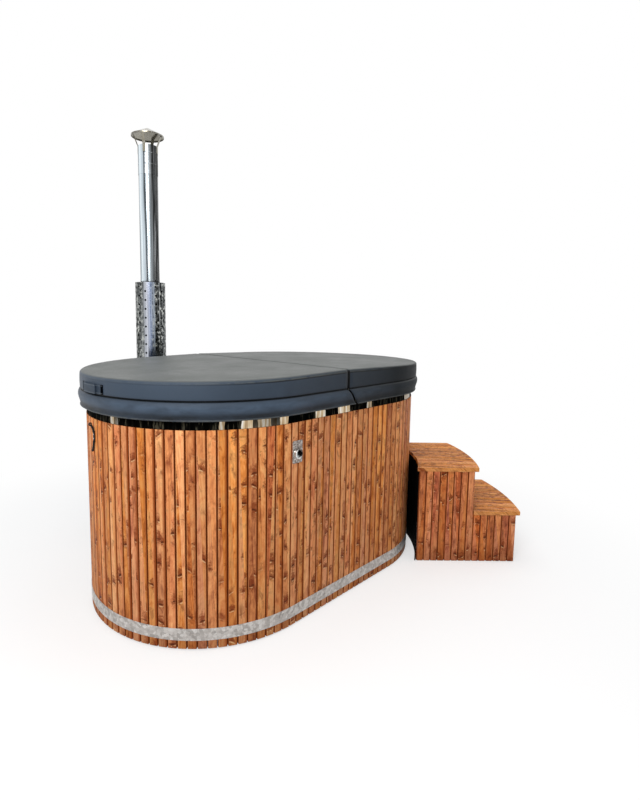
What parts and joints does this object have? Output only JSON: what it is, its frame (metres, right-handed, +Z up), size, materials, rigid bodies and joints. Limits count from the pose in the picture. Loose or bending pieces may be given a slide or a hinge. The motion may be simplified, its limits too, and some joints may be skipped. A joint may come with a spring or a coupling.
{
  "type": "wooden hot tub",
  "caption": "Oval wood-clad hot tub with a folding padded cover, a wood stove with a shielded chimney behind it, and curved wooden steps.",
  "frame": {"origin": "on the floor under the middle of the tub", "axes": "+X along the tub towards the steps, +Y towards the stove, +Z up along the chimney"},
  "size_m": [2.3711, 2.326, 2.574],
  "materials": {
    "slat_wood": "oiled orange-brown softwood",
    "tread_wood": "oiled golden softwood",
    "pale_wood": "sawn",
    "foam": "rigid foam",
    "zinc": "galvanised",
    "shell_steel": "polished",
    "plate_steel": "satin",
    "flue_steel": "polished",
    "iron": "black",
    "vinyl_left": "grained, semi-matt",
    "vinyl_right": "grained, semi-matt",
    "webbing": "woven",
    "hose_rubber": "matt",
    "drain_steel": "satin",
    "valve_brass": "turned",
    "lever_red": "gloss",
    "stove_steel": "rolled",
    "stove_black": "heat-proof matt",
    "cast_iron": "as cast",
    "gasket_rope": "braided",
    "black_panel": "matt"
  },
  "bodies": {
    "tub": {"slats_front": "slat_wood", "slats_back": "slat_wood", "slats_left": "slat_wood", "slats_right": "slat_wood", "slats_bored": "slat_wood", "hoop_band": "zinc", "hoop_bolts": "zinc", "joists": "pale_wood", "base_board": "pale_wood", "ring_frames": "pale_wood", "floor_insulation": "foam", "wall_insulation": "foam", "rim_ring": "pale_wood", "rim_blocks": "pale_wood", "shell_floor": "shell_steel", "shell_wall": "shell_steel", "shell_rim": "shell_steel", "bench_boards": "pale_wood", "bench_frames": "pale_wood", "iron_hook": "iron", "opener_plate": "plate_steel", "trim_screws": "plate_steel", "tub_ports": "shell_steel", "port_strainers": "shell_steel", "port_hoses": "hose_rubber", "hose_clamps": "plate_steel", "drain_pipe": "drain_steel", "drain_valve": "valve_brass", "stove_casing": "stove_steel", "stove_firebox": "stove_steel", "stove_legs": "stove_black", "stove_ports": "shell_steel", "stove_grate": "cast_iron", "door_hinges": "stove_black", "latch_keeper": "stove_black", "flue_lower": "flue_steel", "flue_upper": "flue_steel", "flue_collar": "flue_steel", "rain_cap": "flue_steel", "heat_shield": "flue_steel", "shield_brackets": "flue_steel", "step_near_side": "slat_wood", "step_far_side": "slat_wood", "step_risers": "slat_wood", "step_back_panel": "black_panel", "step_upper_tread": "tread_wood", "step_lower_tread": "tread_wood", "step_frame": "pale_wood"},
    "cover_left": {"cover_panel_left": "vinyl_left", "cover_skirt_left": "vinyl_left", "cover_strap_left": "webbing"},
    "cover_right": {"cover_panel_right": "vinyl_right", "cover_skirt_right": "vinyl_right", "cover_strap_right": "webbing"},
    "fire_door": {"stove_door": "stove_black", "door_gasket": "gasket_rope"},
    "fire_door_latch": {"door_latch": "cast_iron"},
    "ash_drawer_tray": {"ash_drawer": "stove_black"},
    "drain_valve_ball": {"drain_ball": "drain_steel", "drain_lever": "lever_red"}
  },
  "joints": [
    {"name": "cover_lift", "type": "slide", "parent": "tub", "child": "cover_left", "axis": [0, 0, 1], "range_m": [0, 0.3]},
    {"name": "cover_fold", "type": "hinge", "parent": "cover_left", "child": "cover_right", "pos_m": [-0.05, 0, 1.1443], "axis": [0, -1, 0], "range_deg": [0, 178]},
    {"name": "fire_door_hinge", "type": "hinge", "parent": "tub", "child": "fire_door", "pos_m": [-0.372, 1.197, 0.55], "axis": [0, 0, 1], "range_deg": [0, 120]},
    {"name": "latch_turn", "type": "hinge", "parent": "fire_door", "child": "fire_door_latch", "pos_m": [-0.027, 1.201, 0.55], "axis": [0, 1, 0], "range_deg": [0, 50]},
    {"name": "ash_drawer_slide", "type": "slide", "parent": "tub", "child": "ash_drawer_tray", "axis": [0, 1, 0], "range_m": [0, 0.3]},
    {"name": "drain_turn", "type": "hinge", "parent": "tub", "child": "drain_valve_ball", "pos_m": [0.3, 0.675, 0.16], "axis": [0, 0, 1], "range_deg": [0, 90]}
  ]
}
